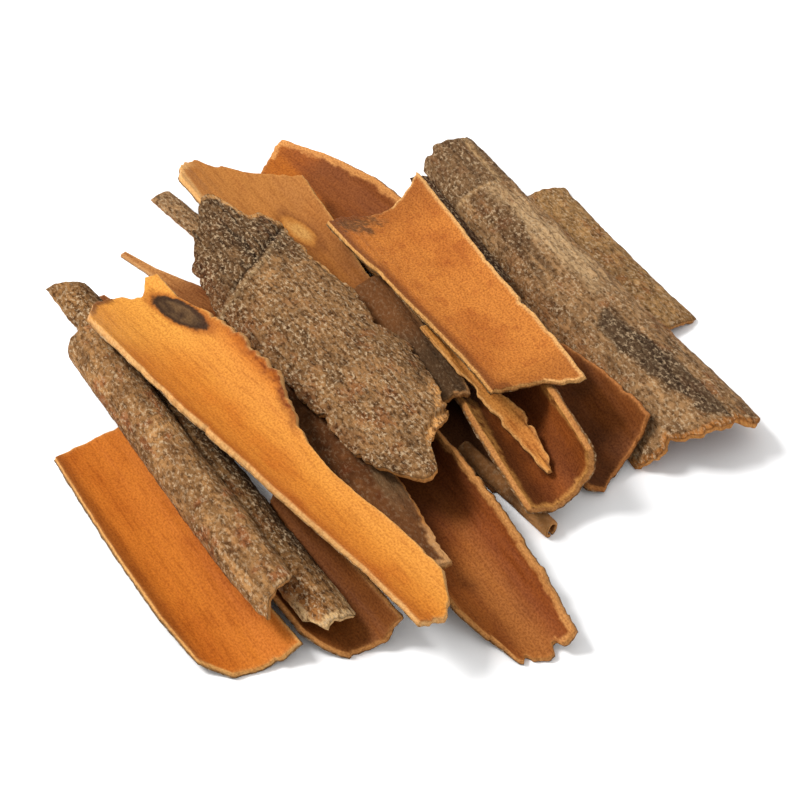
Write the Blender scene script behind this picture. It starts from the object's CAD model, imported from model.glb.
"""Looks of a heap of broken cassia bark: every slab, trough, quill and splinter as rough dry bark.

Lengths are in millimetres and become metres where a mesh is made. A place on a piece is given
flat, before the bark is curled: s across it, to the right of its centre line, and t along it, from
its near end. Colours are the ones seen on the bark by day, from 0 to 255. The last number given
to waves() and rough() picks their random heights; each piece starts from its own number, and what
only one piece has, such as its knot, takes numbers from 70 up.
"""
import math

import bpy
import numpy as np
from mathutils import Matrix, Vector


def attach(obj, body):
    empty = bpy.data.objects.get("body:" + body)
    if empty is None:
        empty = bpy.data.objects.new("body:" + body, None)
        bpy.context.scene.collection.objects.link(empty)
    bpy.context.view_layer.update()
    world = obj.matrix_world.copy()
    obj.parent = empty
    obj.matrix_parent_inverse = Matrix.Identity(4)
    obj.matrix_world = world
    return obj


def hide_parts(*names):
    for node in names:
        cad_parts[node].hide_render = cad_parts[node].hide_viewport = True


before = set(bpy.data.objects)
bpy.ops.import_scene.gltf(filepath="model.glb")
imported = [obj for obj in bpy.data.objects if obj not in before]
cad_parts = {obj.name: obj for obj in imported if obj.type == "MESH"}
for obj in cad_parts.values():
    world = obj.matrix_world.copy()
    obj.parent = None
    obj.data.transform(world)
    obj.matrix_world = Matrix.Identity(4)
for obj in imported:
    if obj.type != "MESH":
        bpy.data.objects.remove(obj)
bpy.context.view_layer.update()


# The front left slab: a flat length of bark on its back, orange inner face up. It was split from
# the tree with a knife, so its long edges are straight, and then snapped across, so its ends are
# torn. The ways in which all the bark is shaped, coloured and finished start here.

MM = 0.001

# The size of a quad of a face, and the number of rings of quads in a broken rim.
STEP_ALONG = 0.46
STEP_ACROSS = 0.42
RIM_LAYERS = 5

# The lowest that a point of a mesh may lie, so that the bark rests just on the table.
LOWEST = 0.02

# How much brighter than a white page a white surface lies in this light.
DAYLIGHT = 1.5


def waves(across, along, seed):
    """Random heights from -1 to 1 on a square lattice, joined by the curve 3x^2 - 2x^3."""
    i, j = np.floor(across), np.floor(along)
    x, y = across - i, along - j
    x, y = x * x * (3 - 2 * x), y * y * (3 - 2 * y)

    def height(a, b):
        number = np.sin(a * 127.1 + b * 311.7 + seed * 74.7) * 43758.5453
        return 2 * (number - np.floor(number)) - 1

    low = height(i, j) * (1 - x) + height(i + 1, j) * x
    high = height(i, j + 1) * (1 - x) + height(i + 1, j + 1) * x
    return low * (1 - y) + high * y


def rough(across, along, seed):
    """Three sizes of waves added, each half as large and half as high as the one before."""
    total = waves(across, along, seed) + waves(across * 2.1, along * 2.1, seed + 1.3) / 2
    return (total + waves(across * 4.3, along * 4.3, seed + 2.6) / 4) / 1.45


def ease(low, high, value):
    """0 below low and 1 above high, with the curve 3x^2 - 2x^3 between them."""
    x = np.clip((value - low) / (high - low), 0, 1)
    return x * x * (3 - 2 * x)


def evenly(values, share):
    """Values given at even spacing, read at a share from 0, the first, to 1, the last."""
    return np.interp(share, np.linspace(0, 1, len(values)), values)


def rgb(red, green, blue):
    """Paint for a colour as seen: ((c + 0.055) / 1.055) to the power 2.4, over the daylight."""
    return ((np.array([red, green, blue]) / 255 + 0.055) / 1.055) ** 2.4 / DAYLIGHT


def mixed(one, other, share):
    """One colour going over into the other by a share from 0 to 1 at each point."""
    return one + (other - one) * np.clip(share, 0, 1)[..., None]


def outlines(shape, along, across, inward, seed):
    """Places s and t of a face's grid, with its outline drawn inward by a distance at each edge.

    The long edges waver a little and have chips; the ends are torn into short fibres. From first
    to last along the piece the long edges are torn as well, the right one more than the left one.
    """
    length = shape["length"]
    place = along * length
    first, last, ragged = shape["tear"]

    def long_edge(values, own):
        chip = 0.7 * ease(0.45, 0.75, waves(place / 7, own, seed))
        waver = 0.25 * rough(place / 3.6, own, seed) + 0.08 * waves(place / 0.8, own, seed)
        waver = waver * (0.35 + 0.65 * shape["chips"])
        return evenly(values, along) + waver - chip * shape["chips"] - inward(place, own)

    left, right = long_edge(shape["left"], 11.5), long_edge(shape["right"], 23.5)
    in_tear = ragged * ease(first - 2, first + 2, place) * ease(last + 2, last - 2, place)
    s = across * (left + right) - left
    for share, outward, own in ((across, 1, 3.5), (1 - across, -0.6, 7.5)):
        jag = 0.8 * rough(place / 4.2, own, seed) + 0.45 * waves(place / 1.5, own + 2, seed)
        jag = jag - 0.9 * ease(0.3, 0.7, waves(place / 2.6, own + 4, seed))
        s = s + outward * ease(0.8, 1, share) * in_tear * jag

    def end(values, own):
        torn = 0.65 * rough(s / 3.4, own, seed) + 0.35 * waves(s / 1.3, own, seed)
        torn = torn - 0.6 * ease(0.35, 0.7, waves(s / 2.4, own + 2, seed))
        return evenly(values, across) + torn * shape["torn"] - inward(s, own)

    start, stop = -end(shape["near_end"], 37.5), length + end(shape["far_end"], 41.5)
    return s, start + along * (stop - start)


def bark_points(shape, seed):
    """Every point of a piece, flat, as a table of seven rows, and the corners of its quads.

    The rows are s, t, the shares across and along, the depth share from 0, inside, to 1, outside,
    the distance to the nearest long edge and to the nearest end. The two faces are grids, and the
    broken rim between them is rings of points that go from the border of the one to the other.
    """
    width = max(shape["left"]) + max(shape["right"])
    rows, columns = int(shape["length"] / STEP_ALONG), int(width / STEP_ACROSS)
    along, across = np.linspace(0, 1, rows + 1)[:, None], np.linspace(0, 1, columns + 1)[None, :]
    along, across = np.broadcast_arrays(along, across)

    def worn(place, own):
        return 0.05 + 0.16 * rough(place / 2.2, own + 3, seed)

    inner = outlines(shape, along, across, lambda place, own: 0.0 * place, seed)
    outer = outlines(shape, along, across, worn, seed)
    rim = np.concatenate([
        np.arange(columns), np.arange(rows) * (columns + 1) + columns,
        (rows + 1) * (columns + 1) - 1 - np.arange(columns), (rows - np.arange(rows)) * (columns + 1),
    ])
    out_s = (np.where(across == 1, 1.0, 0.0) - np.where(across == 0, 1.0, 0.0)).ravel()[rim]
    out_t = (np.where(along == 1, 1.0, 0.0) - np.where(along == 0, 1.0, 0.0)).ravel()[rim]
    parts = []
    for (s, t), depth in ((inner, 0.0), (outer, 1.0)):
        to_side = np.minimum(s - s[:, :1], s[:, -1:] - s)
        to_end = np.minimum(t - t[:1], t[-1:] - t)
        rows_of = [s, t, across, along, np.full(s.shape, depth), to_side, to_end]
        parts.append(np.stack([row.ravel() for row in rows_of]))
    for layer in range(1, RIM_LAYERS):
        depth = layer / RIM_LAYERS
        ring = (1 - depth) * parts[0][:, rim] + depth * parts[1][:, rim]
        proud = waves((ring[0] + ring[1]) / 0.9, np.full(rim.size, layer * 0.9), seed + 5)
        ring[0] += out_s * (0.07 * proud + 0.08)
        ring[1] += out_t * (0.22 * proud + 0.1)
        parts.append(ring)
    return np.concatenate(parts, axis=1), bark_quads(rows, columns, rim)


def bark_quads(rows, columns, rim):
    """Four corners of every quad: the inner grid, the outer grid turned over, and the rim rings."""
    first = (np.arange(rows)[:, None] * (columns + 1) + np.arange(columns)).ravel()
    face = np.stack([first, first + 1, first + columns + 2, first + columns + 1], axis=-1)
    size = (rows + 1) * (columns + 1)
    middle = [2 * size + k * rim.size + np.arange(rim.size) for k in range(RIM_LAYERS - 1)]
    rings = [rim, *middle, rim + size]
    walls = [np.stack([a, b, np.roll(b, -1), np.roll(a, -1)], axis=-1) for a, b in zip(rings, rings[1:])]
    return np.concatenate([face, face[:, ::-1] + size, *walls])


def curled(shape, s, t, share, depth):
    """Places of flat points once the bark is curled, lying at height 0.

    The angle s / R turns a point round an axis R over the inner face, or under it if the cork
    side is up; depth moves it away from that axis, and roll turns the whole piece.
    """
    radius = evenly(shape["curl"], share)
    roll = np.radians(evenly(shape["roll"], share))
    upward = 1 if shape["up"] == "inner" else -1
    x = (radius + depth) * np.sin(s / radius)
    z = upward * (radius - (radius + depth) * np.cos(s / radius))
    sideways, height = x * np.cos(roll) - z * np.sin(roll), x * np.sin(roll) + z * np.cos(roll)
    plan = shape["near"] + t[:, None] * shape["ahead"] + sideways[:, None] * shape["to_right"]
    return np.column_stack([plan, height])


def lie(shape, node):
    """Height and the two slopes of the plane on which the solid of this piece lies.

    The solid's top is felt from above at points along the middle of the piece, and the plane is
    the one that fits the differences to the curled sheet best.
    """
    turns, shares = np.linspace(-0.35, 0.35, 7), np.linspace(0.12, 0.88, 40)
    s, share = [grid.ravel() for grid in np.meshgrid(turns, shares)]
    radius = evenly(shape["curl"], share)
    s = np.clip(s * radius, -0.7 * min(shape["left"]), 0.7 * min(shape["right"]))
    depth = 0.0 if shape["up"] == "inner" else shape["bark"]
    flat = curled(shape, s, share * shape["length"], share, depth)
    above, down = 0.1, Vector((0, 0, -1))
    found = []
    for x, y, z in flat:
        hit, place, _, _ = node.ray_cast(Vector((x * MM, y * MM, above)), down)
        if hit:
            found.append((1.0, x, y, place.z / MM - z))
    found = np.array(found)
    for _ in range(3):
        plane = np.linalg.lstsq(found[:, :3], found[:, 3], rcond=None)[0]
        off = np.abs(found[:, 3] - found[:, :3] @ plane)
        found = found[off <= 0.5 + np.median(off)]
    return plane


def bark_finish(name, sand, fibres, specks, grit):
    """A dry matt bark: the painted colour, broken up by sandy grain inside and by cork outside.

    sand is the strength of the grain of the inner face, about 0.5 mm across, and fibres that of
    the streaks along it. specks is the strength of the furrows, pits and pale flecks of the cork,
    about 1 mm across. grit is the height of the finest bumps, in metres.
    """
    material = bpy.data.materials.new(name)
    material.use_nodes = True
    tree = material.node_tree
    shader = tree.nodes["Principled BSDF"]
    place = tree.nodes.new("ShaderNodeUVMap")
    place.uv_map = "flat_bark"

    def attribute(word):
        node = tree.nodes.new("ShaderNodeAttribute")
        node.attribute_name = word
        return node

    def noise(stretch, size_mm, detail, roughness):
        mapping = tree.nodes.new("ShaderNodeMapping")
        mapping.inputs["Scale"].default_value = stretch
        tree.links.new(place.outputs["UV"], mapping.inputs["Vector"])
        node = tree.nodes.new("ShaderNodeTexNoise")
        node.noise_dimensions = "2D"
        node.inputs["Scale"].default_value = 1000.0 / size_mm
        node.inputs["Detail"].default_value = detail
        node.inputs["Roughness"].default_value = roughness
        tree.links.new(mapping.outputs["Vector"], node.inputs["Vector"])
        return node.outputs["Fac"]

    def ramp(value, low, high, start, stop):
        node = tree.nodes.new("ShaderNodeMapRange")
        node.clamp = True
        sockets = ("From Min", "From Max", "To Min", "To Max")
        for socket, number in zip(sockets, (low, high, start, stop)):
            node.inputs[socket].default_value = number
        tree.links.new(value, node.inputs["Value"])
        return node.outputs["Result"]

    def combined(kind, one, other):
        node = tree.nodes.new("ShaderNodeMath")
        node.operation = kind
        for socket, value in zip(node.inputs, (one, other)):
            if isinstance(value, float):
                socket.default_value = value
            else:
                tree.links.new(value, socket)
        return node.outputs["Value"]

    def painted(kind, share, under, over):
        node = tree.nodes.new("ShaderNodeMix")
        node.data_type = "RGBA"
        node.blend_type = kind
        tree.links.new(share, node.inputs["Factor"])
        for socket, value in ((node.inputs["A"], under), (node.inputs["B"], over)):
            if isinstance(value, tuple):
                socket.default_value = value
            else:
                tree.links.new(value, socket)
        return node.outputs["Result"]

    cork = attribute("cork").outputs["Fac"]
    wood = combined("SUBTRACT", 1.0, cork)
    grain = noise((1.0, 0.7, 1.0), 0.5, 2.0, 0.6)
    fibre = noise((1.0, 0.1, 1.0), 1.1, 3.0, 0.6)
    pit = noise((1.0, 0.55, 1.0), 1.1, 4.0, 0.7)
    furrow = noise((1.0, 0.16, 1.0), 1.5, 4.0, 0.65)
    fleck = noise((1.0, 0.6, 1.0), 0.9, 3.0, 0.7)
    patch = noise((1.0, 0.5, 1.0), 5.0, 3.0, 0.6)

    # What the paint is multiplied by, or the paint of a fleck, where each is at its strongest.
    in_fibre, in_dark_grain = (0.55, 0.40, 0.28, 1.0), (0.45, 0.30, 0.20, 1.0)
    in_pale_grain, in_furrow = (1.40, 1.42, 1.40, 1.0), (0.42, 0.36, 0.32, 1.0)
    in_pit, fleck_paint = (0.30, 0.25, 0.21, 1.0), (0.48, 0.34, 0.20, 1.0)

    colour = attribute("paint").outputs["Color"]
    dark_fibre = combined("MULTIPLY", ramp(fibre, 0.50, 0.30, 0.0, fibres), wood)
    colour = painted("MULTIPLY", dark_fibre, colour, in_fibre)
    dark_grain = combined("MULTIPLY", ramp(grain, 0.52, 0.30, 0.0, sand), wood)
    colour = painted("MULTIPLY", dark_grain, colour, in_dark_grain)
    pale_grain = combined("MULTIPLY", ramp(grain, 0.52, 0.74, 0.0, sand), wood)
    colour = painted("MULTIPLY", pale_grain, colour, in_pale_grain)
    dark_furrow = combined("MULTIPLY", ramp(furrow, 0.52, 0.36, 0.0, specks), cork)
    colour = painted("MULTIPLY", combined("MULTIPLY", dark_furrow, 0.75), colour, in_furrow)
    dark_pit = combined("MULTIPLY", ramp(pit, 0.53, 0.36, 0.0, specks), cork)
    colour = painted("MULTIPLY", dark_pit, colour, in_pit)
    many = combined("MULTIPLY", ramp(patch, 0.38, 0.6, 0.4, 1.0), cork)
    pale_fleck = combined("MULTIPLY", ramp(fleck, 0.51, 0.66, 0.0, specks), many)
    colour = painted("MIX", combined("MULTIPLY", pale_fleck, 0.9), colour, fleck_paint)
    tree.links.new(colour, shader.inputs["Base Color"])

    rough_wood = ramp(grain, 0.3, 0.7, 0.66, 0.5)
    rough_cork = ramp(pit, 0.3, 0.7, 0.97, 0.8)
    blend = tree.nodes.new("ShaderNodeMix")
    tree.links.new(cork, blend.inputs["Factor"])
    tree.links.new(rough_wood, blend.inputs["A"])
    tree.links.new(rough_cork, blend.inputs["B"])
    tree.links.new(blend.outputs["Result"], shader.inputs["Roughness"])
    shader.inputs["Specular IOR Level"].default_value = 0.06

    fine = combined("ADD", combined("MULTIPLY", fibre, 0.5), combined("MULTIPLY", grain, 0.3))
    fine = combined("MULTIPLY", fine, wood)
    coarse = combined("MULTIPLY", combined("ADD", combined("ADD", pit, fleck), furrow), cork)
    bump = tree.nodes.new("ShaderNodeBump")
    bump.inputs["Distance"].default_value = grit
    tree.links.new(combined("ADD", fine, coarse), bump.inputs["Height"])
    tree.links.new(bump.outputs["Normal"], shader.inputs["Normal"])
    return material


def bark_piece(node, finish, seed, up, near, far, bark, left, right, near_end, far_end, curl,
               relief, paint, roll=(0.0,), torn=1.0, chips=1.0, tear=(0, 0, 0)):
    """One piece of bark in place of its solid.

    near and far are the two ends of its centre line in plan, bark is its thickness, and up is the
    face on top. left and right are its widths at even spacing from near to far, and near_end and
    far_end how far it goes past the ends, from left to right. curl is the radius and roll the turn
    about its length, in degrees. torn and chips are the strengths of the torn ends and of the
    chips, and tear says from where to where the long edges are torn too, and how strongly. relief
    gives how far each point is sunk into its face, and paint its colour, both from s, t, depth
    share and the distances to the long edges and to the ends.
    """
    near, far = np.array(near), np.array(far)
    length = np.linalg.norm(far - near)
    ahead = (far - near) / length
    to_right = np.array([ahead[1], -ahead[0]])
    shape = dict(up=up, near=near, ahead=ahead, to_right=to_right, length=length, bark=bark,
                 left=left, right=right, near_end=near_end, far_end=far_end, curl=curl,
                 roll=roll, torn=torn, chips=chips, tear=tear)
    (s, t, across, along, depth, to_side, to_end), quads = bark_points(shape, seed)
    sunk = relief(s, t, depth, to_side, to_end)
    points = curled(shape, s, t, along, depth * bark + np.where(depth > 0.5, -sunk, sunk))
    plane = lie(shape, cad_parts[node])
    points[:, 2] += plane[0] + points[:, 0] * plane[1] + points[:, 1] * plane[2]
    points[:, 2] = np.maximum(points[:, 2], LOWEST)
    if up == "inner":
        quads = quads[:, ::-1]

    mesh = bpy.data.meshes.new(node + "_bark")
    mesh.vertices.add(len(points))
    mesh.vertices.foreach_set("co", (points * MM).astype(np.float32).ravel())
    mesh.loops.add(quads.size)
    mesh.loops.foreach_set("vertex_index", quads.ravel().astype(np.int32))
    mesh.polygons.add(len(quads))
    mesh.polygons.foreach_set("loop_start", np.arange(len(quads), dtype=np.int32) * 4)
    mesh.update(calc_edges=True)
    mesh.polygons.foreach_set("use_smooth", np.ones(len(quads), dtype=bool))
    flat = np.column_stack([s + depth * bark * (2 * across - 1), t + depth * bark * (2 * along - 1)])
    flat = flat[quads.ravel()] * MM + seed * 0.31
    mesh.uv_layers.new(name="flat_bark").data.foreach_set("uv", flat.astype(np.float32).ravel())
    colours = np.column_stack([np.clip(paint(s, t, depth, to_side, to_end), 0, 1), np.ones(len(s))])
    painted = mesh.attributes.new("paint", "FLOAT_COLOR", "POINT")
    painted.data.foreach_set("color", colours.astype(np.float32).ravel())
    cork = ease(0.55, 0.8, depth).astype(np.float32)
    mesh.attributes.new("cork", "FLOAT", "POINT").data.foreach_set("value", cork)
    mesh.materials.append(finish)
    piece = bpy.data.objects.new(node + "_bark", mesh)
    bpy.context.scene.collection.objects.link(piece)
    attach(piece, "root")
    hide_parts(node)


def bark_relief(seed, ripple=0.1, lumps=0.16, cracks=0.25):
    """Depths in a face: ripples along the fibres inside, and lumps, ridges and cracks in the cork."""
    def relief(s, t, depth, to_side, to_end):
        inside = ripple * waves(s / 1.7, t / 24, seed) + ripple * rough(s / 5, t / 12, seed + 2)
        inside += 0.3 * ripple * waves(s / 1.0, t / 1.4, seed + 3)
        ridges = waves(s / 1.8, t / 19, seed + 4)
        outside = lumps * rough(s / 5, t / 11, seed + 6) + lumps * rough(s / 1.3, t / 2.2, seed + 8)
        splits = waves(s / 5, t / 1.5, seed + 9)
        outside += cracks * ease(0.35, 0.75, ridges) + 0.5 * cracks * ease(0.5, 0.8, splits)
        outside -= 0.5 * cracks * ease(0.3, 0.8, waves(s / 1.1, t / 6, seed + 7))
        worn = 0.12 * np.exp(-np.minimum(to_side, to_end) / 0.5)
        middle = 0.1 * rough(s / 0.8, (t + depth * 9) / 0.8, seed + 10)
        return np.where(depth <= 0, inside + 0.5 * worn, np.where(depth >= 1, outside + worn, middle))
    return relief


def bark_paint(seed, inner, deep, outer, crust, rim, cast=None, skin=0.7):
    """Colours of a piece: soft clouds inside, mottled cork outside, and a pale broken rim.

    skin is the depth share at which the cork starts in the rim. cast, if there is one, goes over
    the colours last, for what this one piece has.
    """
    def paint(s, t, depth, to_side, to_end):
        cloud = 0.5 + 0.5 * rough(s / 9, t / 16, seed + 1)
        mottle = 0.5 + 0.5 * rough(s / 2.4, t / 3.2, seed)
        inside = mixed(rgb(*inner), rgb(*deep), 0.9 * ease(0.3, 0.8, cloud) + 0.5 * (mottle - 0.5))
        patch = ease(0.3, 0.75, 0.5 + 0.5 * rough(s / 5, t / 10, seed + 3))
        crumb = 0.5 + 0.5 * rough(s / 1.4, t / 2.2, seed + 4)
        outside = mixed(rgb(*outer), rgb(*crust), 0.55 * patch + 0.9 * (crumb - 0.4))
        rubbed = ease(0.15, 0.6, rough(s / 2.6, t / 4.5, seed + 11))
        rubbed = rubbed * ease(-0.5, 0.4, waves(s / 9, t / 20, seed + 12))
        outside = mixed(outside, rgb(*outer) * np.array([0.85, 0.58, 0.48]), 0.6 * rubbed)
        bleached = ease(0.2, 0.65, rough(s / 2.2, t / 5, seed + 13))
        outside = mixed(outside, rgb(*outer) * np.array([1.4, 1.42, 1.42]), 0.65 * bleached)
        colour = mixed(inside, outside, ease(skin - 0.1, skin + 0.1, depth))
        on_rim = np.exp(-np.minimum(to_side, to_end) / 0.36)
        on_rim = on_rim * (1 - 0.75 * ease(skin - 0.1, skin + 0.15, depth))
        on_rim = on_rim * (0.85 + 0.25 * rough(s / 0.6, t / 0.6, seed + 5))
        colour = mixed(colour, rgb(*rim), on_rim)
        if cast:
            colour = cast(colour, s, t, depth, np.minimum(to_side, to_end))
        return colour
    return paint


smooth_bark = bark_finish("bark_inner_bright", sand=0.4, fibres=0.35, specks=0.8, grit=0.0002)


def shade_of_rim(colour, s, t, depth, edge):
    """The inner face browner in a band beside the left edge, and paler down the middle."""
    inside = depth <= 0.1
    colour = mixed(colour, rgb(146, 74, 22), 0.75 * ease(4.6, 0.4, s + 10) * inside)
    return mixed(colour, rgb(224, 130, 46), 0.5 * ease(7, 0, np.abs(s - 3)) * inside)


bark_piece(
    "slab_front_left", smooth_bark, 1, "inner", near=(-81.6, -61.5), far=(-74.2, 18.8), bark=1.8,
    left=(8.3, 10.3, 10.7, 10.5, 10.0, 9.5), right=(14.8, 13.5, 13.0, 13.0, 13.0, 12.0),
    near_end=(-3.5, 2.6, 3.4, 4.4, 4.5), far_end=(1.0, 4.0, 5.0, 4.0), curl=(20.0, 26.0),
    relief=bark_relief(1), torn=0.6, chips=0.4,
    paint=bark_paint(1, (216, 122, 40), (200, 106, 32), (112, 82, 52), (74, 54, 38), (236, 176, 102),
                     shade_of_rim, skin=0.5),
)


# Three more slabs that lie with the inner face up, orange like the first: the long one across
# the quills, with a knot near its far end, the one at the back, with a pale scar, and the topmost
# one, which is the most speckled. All three are single broken lengths of thin bark.


def spot(s, t, at_s, at_t, across, along, turn=0.0):
    """Distance from the middle of an oval, 1 on its border; turn is in degrees, from along t."""
    c, q = math.cos(math.radians(turn)), math.sin(math.radians(turn))
    x, y = (s - at_s) * c - (t - at_t) * q, (s - at_s) * q + (t - at_t) * c
    return np.hypot(x / across, y / along)


def knot(colour, s, t, depth, edge):
    """A dark oval where a twig grew out: brown ring, grey middle, with the wood browner round it.

    The torn bulge of the right edge is reddish brown, and so is a band beside the left edge.
    """
    far = spot(s, t, 9.2, 122.0, 3.1, 10.8, -12.0) + 0.12 * rough(s / 1.2, t / 1.8, 91)
    inside = depth <= 0.1
    colour = mixed(colour, rgb(246, 168, 72), 0.6 * ease(9, 2, np.abs(s - 7)) * inside)
    colour = mixed(colour, rgb(246, 172, 74), 0.6 * ease(100, 124, t) * inside)
    colour = mixed(colour, rgb(176, 96, 32), 0.8 * ease(1.5, 1.0, far) * inside)
    colour = mixed(colour, rgb(66, 44, 26), ease(1.08, 0.92, far) * inside)
    grey = ease(0.8, 0.5, far) * (0.45 + 0.7 * rough(s / 0.8, t / 2.2, 92))
    colour = mixed(colour, rgb(122, 92, 58), grey * inside)
    frayed = ease(4.2, 0.4, edge + 1.2 * rough(s / 1.3, t / 2.2, 89)) * (s > 6)
    frayed = frayed * ease(64, 72, t) * ease(124, 86, t)
    frayed = frayed * (0.7 + 0.6 * rough(s / 1.1, t / 1.3, 90))
    colour = mixed(colour, rgb(136, 66, 22), frayed * inside)
    ear = ease(3.0, 0.6, edge + 0.8 * rough(s / 0.9, t / 1.6, 88)) * ease(128, 135, t) * (s < -2)
    colour = mixed(colour, rgb(120, 66, 28), 0.85 * ear * inside)
    band = ease(5.0, 0.6, edge) * (s < -2) * ease(112, 84, t) * inside
    return mixed(colour, rgb(196, 104, 32), 0.6 * band)


bark_piece(
    "slab_long_orange", smooth_bark, 2, "inner", near=(-42.4, -83.9), far=(-45.0, 54.0), bark=2.0,
    left=(6.5, 6.5, 9.3, 11.2, 14.4, 15.0, 14.5),
    right=(8.0, 8.3, 8.0, 7.0, 6.7, 7.7, 10.6, 15.0, 15.6, 15.8, 14.4, 11.6, 12.5),
    near_end=(3.0, 3.0, 3.0, 2.0, 0.0, -3.0, -7.0),
    far_end=(-9.0, -5.0, -1.5, 0.8, 1.5, 0.0, -3.0, -1.5, 2.5, 0.5), curl=(12.0, 20.0),
    relief=bark_relief(2), chips=0.4, torn=1.5, tear=(64, 112, 1.3),
    paint=bark_paint(2, (226, 138, 48), (212, 118, 38), (112, 82, 52), (74, 54, 38),
                     (234, 180, 114), knot, skin=0.85),
)


def scar(colour, s, t, depth, edge):
    """A pale oval scar with darker wood round it, browner fibres near, a pale split far corner."""
    far = spot(s, t, 3.3, 49.5, 2.6, 7.8, -8.0) + 0.22 * rough(s / 1.5, t / 3, 93)
    inside = depth <= 0.1
    far_part = ease(42, 66, t + 4 * rough(s / 4, t / 6, 87))
    colour = mixed(colour, rgb(206, 136, 66), 0.7 * far_part * inside)
    colour = mixed(colour, rgb(132, 76, 32), 0.5 * ease(34, 12, t) * inside)
    colour = mixed(colour, rgb(134, 76, 32), 0.6 * ease(1.7, 1.05, far) * inside)
    border = np.broadcast_to(rgb(200, 130, 56), colour.shape)
    pale = mixed(border, rgb(222, 164, 88), ease(1.0, 0.2, far))
    colour = mixed(colour, pale, 0.9 * ease(1.15, 0.8, far) * inside)
    split = ease(3.4, 1.4, edge + 0.9 * rough(s / 1.2, t / 5, 76)) * ease(-7, -11, s) * ease(52, 64, t)
    return mixed(colour, rgb(240, 182, 112), 0.9 * split * (depth <= 0.6))


bark_piece(
    "slab_back_orange", smooth_bark, 3, "inner", near=(9.0, 10.4), far=(12.5, 84.3), bark=1.8,
    left=(12.0, 13.0, 14.0, 15.0, 16.0, 17.0, 17.0), right=(5.0, 7.0, 9.0, 10.5, 12.0, 13.0, 14.0),
    near_end=(0.0,), far_end=(8.0, 15.0, 17.0, 12.0, 5.0, -2.0, -9.0), curl=(17.0, 24.0),
    relief=bark_relief(3, ripple=0.16), torn=1.8, chips=1.4,
    paint=bark_paint(3, (178, 110, 48), (144, 84, 38), (112, 82, 52), (74, 54, 38),
                     (230, 168, 98), scar),
)


def stain(colour, s, t, depth, edge):
    """Reddish clouds, a grey patch of old skin at the far left corner, and a pale right edge."""
    inside = depth <= 0.1
    colour = mixed(colour, rgb(172, 88, 32), 0.4 * ease(0.1, 0.7, rough(s / 2.2, t / 3.4, 94)) * inside)
    colour = mixed(colour, rgb(150, 84, 34), 0.5 * (ease(14, 2, t) + ease(76, 96, t)) * inside)
    grey = spot(s, t, -8.5, 90.5, 8.0, 6.0) + 0.5 * rough(s / 1.2, t / 1.6, 95)
    colour = mixed(colour, rgb(104, 70, 40), 0.85 * ease(1.2, 0.6, grey) * inside)
    flecks = ease(0.1, 0.5, rough(s / 0.8, t / 0.8, 86)) * ease(1.6, 0.9, grey)
    colour = mixed(colour, rgb(196, 122, 62), 0.7 * flecks * inside)
    band = ease(4.0, 0.6, edge) * (s < -3) * inside
    colour = mixed(colour, rgb(134, 72, 28), 0.8 * band)
    return mixed(colour, rgb(240, 182, 112), 0.85 * ease(1.1, 0.4, edge) * (s > 5) * (depth <= 0.6))


sandy_bark = bark_finish("bark_sandy", sand=0.6, fibres=0.2, specks=0.8, grit=0.00025)

bark_piece(
    "slab_top_orange", sandy_bark, 4, "inner", near=(16.5, -41.4), far=(35.2, 57.9), bark=1.8,
    left=(9.0, 8.8, 9.8, 11.2, 12.6, 15.5, 16.5), right=(13.0, 14.0, 14.2, 14.5, 15.2, 16.2, 17.0),
    near_end=(-3.0, -4.0, -4.0, -2.5, 2.6, 5.4), far_end=(-11.5, -7.2, -6.5, -8.0, -7.0, -4.0, 0.0),
    curl=(22.0, 26.0), relief=bark_relief(4, ripple=0.14),
    paint=bark_paint(4, (212, 130, 54), (194, 112, 44), (112, 82, 52), (74, 54, 38),
                     (236, 178, 106), stain),
    torn=1.3,
)


# Five troughs: lengths of bark that curled up on both sides as they dried, lying open side up
# under the slabs. Their inner faces are redder and duller, from age, than those of the slabs.

dull_bark = bark_finish("bark_inner_dull", sand=0.5, fibres=0.35, specks=0.8, grit=0.00025)


def trough_paint(seed, inner, deep, rim=(214, 148, 82), cast=None):
    """The colours of a trough, over the same cork on all of them."""
    return bark_paint(seed, inner, deep, (120, 86, 54), (78, 56, 38), rim, cast)


def old_hollow(colour, s, t, depth, edge):
    """A dull purple brown hollow with a sharp border at the right, and a wide pale right crest."""
    inside = depth <= 0.1
    hollow = ease(0.0, 1.6, s - 1.5 - 0.25 * (t - 62) + 0.9 * rough(s / 3, t / 4, 75)) * ease(80, 72, t)
    colour = mixed(colour, rgb(128, 70, 34), 0.75 * hollow * inside)
    crest = ease(2.3, 1.2, edge + 0.7 * rough(s / 1.4, t / 2.4, 74)) * (s > 4)
    return mixed(colour, rgb(232, 160, 88), 0.9 * crest * inside)


bark_piece(
    "trough_back", dull_bark, 5, "inner", near=(32.7, 9.0), far=(25.7, 94.4), bark=1.8,
    left=(7.0, 8.0, 8.0, 9.0, 10.0), right=(13.0, 15.0, 17.2, 18.0, 15.5, 11.0), near_end=(0.0,),
    far_end=(-10.0, -2.0, 4.0, 6.0), curl=(14.0, 18.0), relief=bark_relief(5), torn=1.6,
    paint=trough_paint(5, (192, 108, 36), (160, 86, 34), cast=old_hollow),
)


def brown_wall(colour, s, t, depth, edge):
    """The right wall of the trough darker brown than its floor."""
    return mixed(colour, rgb(116, 64, 28), 0.6 * ease(4, 9, s) * (depth <= 0.1))


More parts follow.
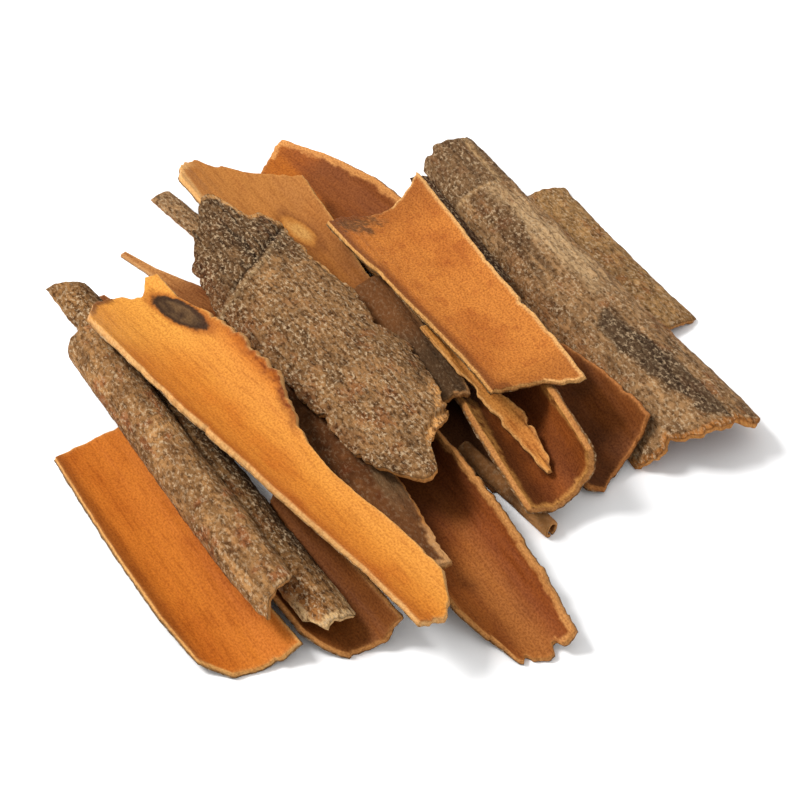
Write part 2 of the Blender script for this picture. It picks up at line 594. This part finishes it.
bark_piece(
    "trough_under_long_slab", dull_bark, 6, "inner", near=(-58.3, -74.7), far=(-56.0, -23.5), bark=1.8,
    left=(8.5, 8.5), right=(14.8, 14.0), near_end=(-11.0, -5.0, 0.0, -0.5, 1.2, 0.6, 1.5),
    far_end=(0.0,), curl=(11.0, 11.0), relief=bark_relief(6), torn=1.4,
    paint=trough_paint(6, (166, 98, 44), (134, 76, 34), cast=brown_wall),
)


def pale_middle(colour, s, t, depth, edge):
    """Sandy near the near end, red brown up the right wall, darker far in, tan along the crest."""
    inside = depth <= 0.1
    sandy = ease(5.5, 1, np.abs(s - 2.5)) * ease(44, 26, t)
    colour = mixed(colour, rgb(190, 118, 56), 0.6 * sandy * inside)
    colour = mixed(colour, rgb(142, 70, 28), 0.7 * ease(6, 10, s) * inside)
    colour = mixed(colour, rgb(86, 44, 20), 0.75 * ease(36, 56, t) * inside)
    crest = ease(1.9, 0.9, edge + 0.6 * rough(s / 1.2, t / 2.2, 73)) * (s > 8)
    return mixed(colour, rgb(214, 148, 82), 0.9 * crest * (depth <= 0.6))


bark_piece(
    "trough_front_middle", dull_bark, 7, "inner", near=(-26.1, -98.5), far=(-16.0, -23.5), bark=1.8,
    left=(10.0, 10.0), right=(12.8, 15.4, 16.6, 17.2, 17.0, 16.0),
    near_end=(-18.0, -10.0, -1.5, 1.0, 2.0, 0.3, 1.2), far_end=(0.0,), curl=(13.0, 14.0), torn=2.6,
    tear=(2, 64, 0.7), relief=bark_relief(7, ripple=0.16),
    paint=trough_paint(7, (166, 94, 38), (134, 70, 28), cast=pale_middle),
)
bark_piece(
    "trough_right_dark", dull_bark, 8, "inner", near=(25.9, -63.6), far=(36.6, -11.8), bark=1.8,
    left=(7.0, 7.0), right=(15.5, 15.0, 13.5, 12.0, 10.0, 9.0),
    near_end=(0.0, 2.5, -1.0, -3.0, -4.7, -6.0, -8.0), far_end=(0.0,), curl=(15.0, 15.0),
    relief=bark_relief(8),
    paint=trough_paint(8, (138, 76, 32), (102, 56, 25), rim=(206, 134, 72)),
)


def rubbed_wall(colour, s, t, depth, edge):
    """Red brown in the trough, dark at the left, and a pale tan band along the top of both walls."""
    inside = depth <= 0.1
    colour = mixed(colour, rgb(74, 40, 20), 0.7 * ease(2, -5, s) * inside)
    band = ease(4.6, 2.6, edge + ease(40, 0, t) * 2.6 + 0.8 * rough(s / 2, t / 3, 85))
    tan = np.broadcast_to(rgb(206, 144, 74), colour.shape)
    tan = mixed(tan, rgb(138, 82, 38), ease(0.2, 0.6, rough(s, t / 2, 84)))
    return mixed(colour, tan, band * inside)


bark_piece(
    "trough_centre_right", dull_bark, 9, "inner", near=(5.2, -66.4), far=(24.9, 5.6), bark=2.4,
    left=(7.2, 8.2, 8.2), right=(18.8, 19.7, 19.0, 17.3, 15.2, 13.8),
    near_end=(1.5, 0.5, -0.5, -3.0, -2.5, -3.0), far_end=(0.0,), curl=(9.8, 10.8), relief=bark_relief(9),
    paint=trough_paint(9, (156, 84, 34), (120, 62, 26), cast=rubbed_wall),
)


# Five pieces with the grey cork side up: the rough slab on top, the strip beside it, the quill
# under it, a long dark quill and a stub; and a dark flat length, inner side up, below them. Cork
# is the tree's own weathered skin, in crusts and cracks, and was never scraped off.

grey_cork = bark_finish("bark_outer_grey", sand=0.5, fibres=0.3, specks=0.95, grit=0.0005)
worn_cork = bark_finish("bark_outer_worn", sand=0.5, fibres=0.3, specks=0.2, grit=0.0003)


def cork_paint(seed, outer, crust, rim=(206, 146, 84), cast=None):
    """The colours of a piece with its cork up, over the same dull inner face on all of them."""
    return bark_paint(seed, (140, 78, 34), (100, 54, 24), outer, crust, rim, cast)


# How far past its step the groove across the grey slab runs.
GROOVE = 2.6


def step_line(s, t):
    """How far a point lies past the step across the grey slab, which runs aslant over it."""
    return t - 86.4 - 0.72 * s - 0.011 * s * s - 0.8 * rough(s / 3, t / 40, 97)


def torn_lip(colour, s, t, depth, edge):
    """Bare wood at the torn near end, a pale ridge with a dark groove across, darker cork beyond."""
    outside = depth >= 0.5
    beyond = ease(80, 92, t + 3 * rough(s / 5, t / 6, 95))
    colour = mixed(colour, rgb(84, 62, 42), 0.6 * beyond * outside)
    ridges = ease(0.1, 0.6, waves(s / 0.9, t / 12, 83)) * ease(84, 90, t)
    colour = mixed(colour, rgb(48, 36, 26), 0.7 * ridges * outside)
    left_part = ease(-10, -15, s + 2 * rough(s / 3, t / 4, 94))
    colour = mixed(colour, rgb(126, 78, 44), 0.6 * left_part * outside)
    rim = edge + 0.9 * rough(s / 1.5, t / 1.5, 96)
    bare = ease(4.4, 2.8, rim) * ease(18, 10, t - 0.6 * s) * ease(-2, 3, s)
    bare = np.maximum(bare, 0.8 * ease(2.6, 1.2, rim) * ease(96, 102, t) * ease(-4, 2, s))
    bare = np.maximum(bare, 0.7 * ease(1.2, 0.6, rim) * ease(64, 72, t) * (s > 0))
    colour = mixed(colour, rgb(250, 182, 108), 0.95 * bare * outside)
    line = step_line(s, t)
    pale = 0.8 * np.exp(-(line / 0.8) ** 2) * (0.55 + 0.7 * rough(s / 1.2, t, 98))
    colour = mixed(colour, rgb(206, 172, 124), pale * outside)
    groove = np.exp(-((line - GROOVE) / 0.8) ** 2) * ease(-14, -8, s)
    return mixed(colour, rgb(40, 28, 18), 0.8 * groove * outside)


def stepped(s, t, depth, to_side, to_end):
    """The relief of thick cork, with a step across it far up and broken away at the near end."""
    line = step_line(s, t)
    groove = 0.5 * np.exp(-((line - GROOVE) / 0.8) ** 2) - 0.25 * np.exp(-(line / 1.1) ** 2)
    lip = ease(4.2, 3.0, to_end + 0.9 * rough(s / 1.5, t / 1.5, 96))
    lip = lip * ease(18, 10, t - 0.6 * s) * ease(-2, 3, s)
    thick = bark_relief(10, lumps=0.2, cracks=0.3)(s, t, depth, to_side, to_end)
    return thick + (groove + lip) * (depth >= 1)


bark_piece(
    "slab_grey_top", grey_cork, 10, "outer", near=(-13.7, -40.3), far=(-3.3, 70.6), bark=2.2,
    left=(9.5, 13.5, 14.3, 14.6, 14.8, 15.3, 15.8, 17.2, 17.5, 16.3, 14.4, 9.0),
    right=(11.0, 14.0, 16.5, 17.5, 19.0, 13.2, 15.0, 16.5, 13.3, 12.5, 12.0, 12.0),
    near_end=(0.5, 5.0, 8.0, 9.0, 8.0, 1.5, -2.0, -4.0, -5.5, -7.0, -9.5),
    far_end=(-2.0, 3.0, 9.0, 9.0, -4.5, -4.0, -12.0), curl=(26.0, 30.0), relief=stepped, torn=2.2,
    chips=1.5, tear=(-8, 118, 1.1),
    paint=cork_paint(10, (172, 126, 79), (118, 85, 53), (240, 170, 96), torn_lip),
)


def brown_far_end(colour, s, t, depth, edge):
    """The cork rubbed off at the far end, where brown wood shows, and a pale right edge."""
    outside = depth >= 0.5
    bare = ease(18, 36, t + 3 * rough(s / 3, t / 5, 71))
    colour = mixed(colour, rgb(132, 82, 44), 0.85 * bare * outside)
    return mixed(colour, rgb(206, 148, 92), 0.8 * ease(1.0, 0.4, edge) * (s > 0) * outside)


bark_piece(
    "strip_grey_middle", worn_cork, 11, "outer", near=(6.9, -23.6), far=(18.7, 28.2), bark=1.8,
    left=(8.0, 8.0), right=(4.0, 5.0, 3.4, 2.6, 2.6), near_end=(0.0,), far_end=(0.0,), curl=(8.0, 8.0),
    relief=bark_relief(11, lumps=0.1),
    paint=cork_paint(11, (94, 67, 43), (66, 46, 30), cast=brown_far_end),
)


def grey_ridge(colour, s, t, depth, edge):
    """Rubbed red brown, with a ridge of light grey cork at the right and a cream near tip."""
    outside = depth >= 0.5
    left_on = ease(0.7, 0.1, edge - 0.9 * rough(s / 2, t / 7, 82)) * (s > 0)
    ridge = ease(3.4, 1.8, np.abs(edge - 2.6 + 0.8 * rough(s / 2, t / 9, 81))) * (s > -2)
    colour = mixed(colour, rgb(136, 104, 70), 0.75 * ridge * ease(14, 34, t) * outside)
    colour = mixed(colour, rgb(212, 142, 74), 0.85 * left_on * outside)
    tip = ease(2.1, 1.1, edge + 0.7 * rough(s / 1.3, t / 3, 70)) * ease(17, 10, t) * (s > -2)
    return mixed(colour, rgb(226, 166, 106), 0.9 * tip * outside)


bark_piece(
    "quill_below_grey_slab", worn_cork, 12, "outer", near=(-28.6, -69.0), far=(-18.7, 13.0), bark=1.8,
    left=(6.0, 9.5, 12.0, 12.0, 12.0), right=(1.5, 3.0, 5.5, 6.0, 6.0), near_end=(0.0,), far_end=(0.0,),
    curl=(8.0, 8.0), relief=bark_relief(12, lumps=0.1), torn=1.5, tear=(0, 60, 0.8),
    paint=cork_paint(12, (118, 72, 38), (88, 50, 24), cast=grey_ridge),
)


def cream_lip(colour, s, t, depth, edge):
    """The near end torn back to cream wood, and the cork darker down the right side."""
    outside = depth >= 0.5
    colour = mixed(colour, rgb(78, 52, 30), 0.85 * ease(-2, 4, s) * ease(10, 26, t) * outside)
    colour = mixed(colour, rgb(190, 122, 62), 0.6 * ease(26, 8, t) * ease(2, -3, s) * outside)
    bare = ease(2.6, 1.2, edge + 1.0 * rough(s / 1.6, t / 1.6, 99)) * ease(12, 7, t) * (depth >= 0.3)
    return mixed(colour, rgb(244, 200, 140), 0.9 * bare)


bark_piece(
    "quill_long_dark", grey_cork, 13, "outer", near=(-59.7, -66.8), far=(-48.2, 77.7), bark=1.4,
    left=(5.3, 5.5), right=(6.5, 6.5, 6.5, 6.0, 3.0), near_end=(-4.0, 2.8, 2.6, 2.0, 1.5),
    far_end=(1.5, -1.5, -5.0), curl=(6.0, 6.0), relief=bark_relief(13), torn=1.8,
    paint=cork_paint(13, (172, 124, 74), (126, 88, 52), (232, 186, 126), cream_lip),
)
bark_piece(
    "slab_dark_middle", dull_bark, 14, "inner", near=(2.2, -50.0), far=(13.0, -8.0), bark=1.1,
    left=(2.4, 6.5, 7.5), right=(1.8, 2.4, 2.4), near_end=(0.0,), far_end=(0.0,), curl=(30.0, 30.0),
    relief=bark_relief(14, lumps=0.08, cracks=0.1),
    paint=trough_paint(14, (92, 54, 28), (64, 38, 20), rim=(120, 76, 40)),
)
bark_piece(
    "stub_far_left", grey_cork, 15, "outer", near=(-3.4, 67.3), far=(-5.5, 101.6), bark=1.8,
    left=(2.6, 2.6), right=(2.6, 2.6), near_end=(0.0,), far_end=(0.0,), curl=(5.0, 5.0),
    relief=bark_relief(15),
    paint=cork_paint(15, (190, 146, 100), (140, 104, 70)),
)


# Five pieces with a browner, smoother cork side up: the large quill at the right with a narrow
# length beside it, the slab behind them, the quill at the front left, and the thin rolled quill,
# which is a whole tube.

brown_cork = bark_finish("bark_outer_brown", sand=0.5, fibres=0.3, specks=0.8, grit=0.0004)


def weathered(colour, s, t, depth, edge):
    """Broad weathering of the large quill: a pale tan stretch, a dark worn patch, brown between.

    Far up a step crosses the cork, where the outermost skin is still on, with a pale split.
    """
    outside = depth >= 0.5
    ridges = ease(0.15, 0.6, waves(s / 1.6, t / 16, 80))
    colour = mixed(colour, rgb(84, 58, 38), 0.6 * ridges * outside)
    pale = ease(1.15, 0.4, spot(s, t, 4.5, 86, 5.0, 34, -4) + 0.45 * rough(s / 2.4, t / 6, 98))
    colour = mixed(colour, rgb(222, 182, 132), 0.8 * pale * outside)
    dark = ease(1.15, 0.85, spot(s, t, 3.6, 25, 3.8, 28, -9) + 0.35 * rough(s / 2.0, t / 5, 99))
    colour = mixed(colour, rgb(74, 58, 44), 0.8 * dark * outside)
    flank = ease(-4, -10, s) * ease(10, 24, t) * ease(96, 80, t)
    colour = mixed(colour, rgb(178, 122, 74), 0.55 * flank * outside)
    far_skin = ease(116.4, 117.6, t + 0.5 * rough(s / 2, t, 100))
    colour = mixed(colour, rgb(112, 84, 58), 0.6 * far_skin * outside)
    split = np.exp(-((t - 116.6 + 0.5 * rough(s / 2, t, 100)) / 0.7) ** 2) * ease(5, 2, s)
    split = np.maximum(split, np.exp(-((s - 4 - 0.3 * rough(s, t / 3, 101)) / 0.8) ** 2) * far_skin)
    colour = mixed(colour, rgb(214, 172, 120), 0.8 * split * outside)
    bare = ease(2.2, 0.6, edge + 0.9 * rough(s / 1.3, t / 1.3, 79)) * ease(10, 5, t)
    return mixed(colour, rgb(200, 130, 66), 0.9 * bare * outside)


bark_piece(
    "quill_right_large", brown_cork, 16, "outer", near=(48.2, -69.5), far=(71.2, 64.6), bark=2.2,
    left=(17.0, 15.0, 13.0, 11.0, 9.0), right=(21.0, 19.5, 17.5, 15.0, 13.0, 11.0, 9.0, 8.0, 8.0),
    near_end=(-4.5, -1.5, -2.0, 1.0, 2.6, 1.2, 2.2, -3.0), far_end=(3.0, 5.5, 5.0, 6.0),
    curl=(19.0, 8.0), roll=(10.0, 4.0), relief=bark_relief(16, lumps=0.2, cracks=0.4), torn=1.6,
    paint=cork_paint(16, (180, 136, 90), (138, 101, 66), (222, 156, 86), weathered),
)
bark_piece(
    "strip_beside_large_quill", brown_cork, 23, "outer", near=(45.6, 8.0), far=(58.6, 65.0), bark=1.3,
    left=(2.5, 2.5), right=(2.3, 2.3), near_end=(0.0,), far_end=(0.0,), curl=(12.0, 12.0),
    relief=bark_relief(23, lumps=0.08, cracks=0.1), chips=0.4,
    paint=cork_paint(23, (84, 56, 34), (60, 40, 26), rim=(120, 80, 46)),
)
bark_piece(
    "slab_far_right", brown_cork, 17, "outer", near=(73.9, -27.7), far=(82.3, 39.8), bark=1.8,
    left=(7.0, 7.0, 7.0), right=(9.5, 8.0, 7.5, 8.0), near_end=(0.0, 0.0, -2.0), far_end=(0.0,),
    curl=(16.0, 16.0), relief=bark_relief(17), paint=cork_paint(17, (182, 138, 86), (146, 108, 68)),
)


def reddish(colour, s, t, depth, edge):
    """Reddish bare places, long fine ridges in the cork, and a pale right edge near the front."""
    outside = depth >= 0.5
    colour = mixed(colour, rgb(108, 76, 46), 0.5 * ease(0.15, 0.6, waves(s / 1.2, t / 14, 78)) * outside)
    rubbed = ease(0.25, 0.6, rough(s / 2.2, t / 4.5, 102))
    rubbed = rubbed * ease(0.0, 0.5, 1 + rough(s / 9, t / 22, 103))
    colour = mixed(colour, rgb(168, 98, 56), 0.6 * rubbed * outside)
    line = ease(1.1, 0.4, edge) * (s > 0) * ease(46, 30, t)
    return mixed(colour, rgb(216, 164, 108), 0.8 * line * outside)


bark_piece(
    "quill_front_left", brown_cork, 18, "outer", near=(-67.6, -55.0), far=(-57.8, 48.4), bark=1.5,
    left=(6.0, 8.0, 9.0, 9.0, 9.0, 9.0), right=(8.0, 8.0), near_end=(8.0, 5.0, 3.0, 2.0, 0.0, -4.0),
    far_end=(0.0,), curl=(5.0, 4.6), relief=bark_relief(18),
    paint=cork_paint(18, (184, 134, 82), (142, 100, 60), cast=reddish),
)


def tan_end(colour, s, t, depth, edge):
    """The near end of the thin quill rubbed to tan wood."""
    tip = ease(12, 5, t + 2 * rough(s, t / 3, 72)) * (depth >= 0.3)
    return mixed(colour, rgb(212, 150, 90), 0.8 * tip)


bark_piece(
    "quill_thin", worn_cork, 19, "outer", near=(3.0, -68.8), far=(2.3, -33.5), bark=0.8,
    left=(3.8, 3.8), right=(3.8, 3.8), near_end=(0.0,), far_end=(0.0,), curl=(1.3, 1.3),
    relief=bark_relief(19, ripple=0.05, lumps=0.08, cracks=0.12), torn=0.5, chips=0.0,
    paint=cork_paint(19, (138, 92, 52), (98, 64, 36), (214, 152, 90), tan_end),
)


# Three splinters: narrow fibrous lengths that broke off the slabs, one in a trough, one behind
# the grey slab, and a longer strip pushed in under the long slab.

splinter_bark = bark_finish("bark_splinter", sand=0.5, fibres=0.7, specks=0.7, grit=0.00025)


def split_fibres(s, t, depth, to_side, to_end):
    """The relief of bark split lengthwise: deep grooves between long fibres on the inner face."""
    grooves = 0.6 * ease(0.1, 0.5, waves(s / 0.8, t / 18, 77))
    return bark_relief(20, ripple=0.2)(s, t, depth, to_side, to_end) + grooves * (depth <= 0)


def dark_grooves(colour, s, t, depth, edge):
    """Darker brown down in the grooves between the fibres."""
    grooves = ease(0.1, 0.5, waves(s / 0.8, t / 18, 77)) * (depth <= 0)
    return mixed(colour, rgb(126, 70, 28), 0.6 * grooves)


def brown_flare(colour, s, t, depth, edge):
    """The splinter browner where it widens, towards its near end."""
    return mixed(colour, rgb(132, 74, 36), 0.7 * ease(44, 34, t) * (depth <= 0.1))


bark_piece(
    "splinter_in_trough", splinter_bark, 20, "inner", near=(10.5, -58.3), far=(14.9, -0.6), bark=1.3,
    left=(0.6, 1.2, 1.6, 1.8, 2.0, 2.2, 2.4), right=(0.6, 2.8, 4.6, 4.4, 4.0, 3.2, 2.5), near_end=(0.0,),
    far_end=(0.0,), curl=(7.0, 7.0), relief=split_fibres, chips=1.2, torn=1.5, tear=(2, 40, 0.8),
    paint=trough_paint(20, (236, 158, 76), (200, 122, 56), (236, 176, 106), dark_grooves),
)
bark_piece(
    "splinter_far_left", splinter_bark, 21, "inner", near=(-15.5, 25.7), far=(-27.2, 84.7), bark=1.4,
    left=(5.0, 6.5, 6.0, 2.5, 1.0, 0.8), right=(4.0, 5.5, 6.0, 4.0, 1.6, 0.8), near_end=(0.0,),
    far_end=(0.0,), curl=(16.0, 16.0), relief=bark_relief(21), chips=0.0,
    paint=trough_paint(21, (196, 132, 72), (150, 90, 44), rim=(222, 164, 104), cast=brown_flare),
)
bark_piece(
    "strip_under_long_slab", splinter_bark, 22, "inner", near=(-42.4, -24.0), far=(-41.6, 72.0),
    bark=1.4, left=(5.0, 4.0, 3.0, 2.4, 2.2, 1.2), right=(5.5, 6.0, 5.5, 4.0, 2.4, 1.2), near_end=(0.0,),
    far_end=(0.0,), curl=(9.0, 9.0), relief=bark_relief(22), chips=0.3,
    paint=trough_paint(22, (172, 92, 36), (122, 64, 26)),
)


# The white table, the light and the camera. The table is matt and almost white; a wide soft lamp
# stands at the far left and the white room fills the shadows.

# Half the width of the table, in metres, so wide that its edges are out of sight.
TABLE_HALF = 3

table = bpy.data.meshes.new("table")
corners = [(x * TABLE_HALF, y * TABLE_HALF, 0) for x, y in ((-1, -1), (1, -1), (1, 1), (-1, 1))]
table.from_pydata(corners, [], [(0, 1, 2, 3)])
table_white = bpy.data.materials.new("table_white")
table_white.use_nodes = True
table_shader = table_white.node_tree.nodes["Principled BSDF"]
table_shader.inputs["Base Color"].default_value = (0.93, 0.93, 0.93, 1)
table_shader.inputs["Roughness"].default_value = 0.9
table.materials.append(table_white)
table_top = bpy.data.objects.new("table", table)
bpy.context.scene.collection.objects.link(table_top)

room = bpy.data.worlds.new("white_room")
room.use_nodes = True
walls = room.node_tree.nodes["Background"]
walls.inputs["Color"].default_value = (1, 1, 1, 1)
walls.inputs["Strength"].default_value = 0.85
bpy.context.scene.world = room
bpy.context.scene.view_settings.view_transform = "Standard"


def lamp(name, place, aim, size, power):
    """A square soft lamp at a place, turned towards the point that it lights."""
    light = bpy.data.lights.new(name, "AREA")
    light.size, light.energy = size, power
    thing = bpy.data.objects.new(name, light)
    thing.location = place
    thing.rotation_mode = "QUATERNION"
    thing.rotation_quaternion = (Vector(aim) - Vector(place)).to_track_quat("-Z", "Y")
    bpy.context.scene.collection.objects.link(thing)


lamp("soft_lamp", place=(-0.55, 0.55, 0.95), aim=(0.0, 0.0, 0.0), size=0.4, power=15.0)

# The camera stands at the front left, 60 cm away and 42 degrees up, turned 35 degrees.
AZIMUTH, ELEVATION, DISTANCE = math.radians(-35), math.radians(42), 0.6
LENS, SENSOR = 108, 36

# It looks at a point by the middle of the heap, and a hair to the left of it and above it.
MIDDLE, LEFTWARD, UPWARD = Vector((-0.0065, -0.0195, 0.010)), 0.0005, 0.002

level = math.cos(ELEVATION)
back = Vector((math.sin(AZIMUTH) * level, -math.cos(AZIMUTH) * level, math.sin(ELEVATION)))
to_side = Vector((math.cos(AZIMUTH), math.sin(AZIMUTH), 0))
aim = MIDDLE - LEFTWARD * to_side + UPWARD * back.cross(to_side)
lens = bpy.data.cameras.new("camera")
lens.lens = LENS
lens.sensor_width = SENSOR
camera = bpy.data.objects.new("camera", lens)
camera.location = aim + back * DISTANCE
camera.rotation_mode = "QUATERNION"
camera.rotation_quaternion = (-back).to_track_quat("-Z", "Y")
bpy.context.scene.collection.objects.link(camera)
bpy.context.scene.camera = camera
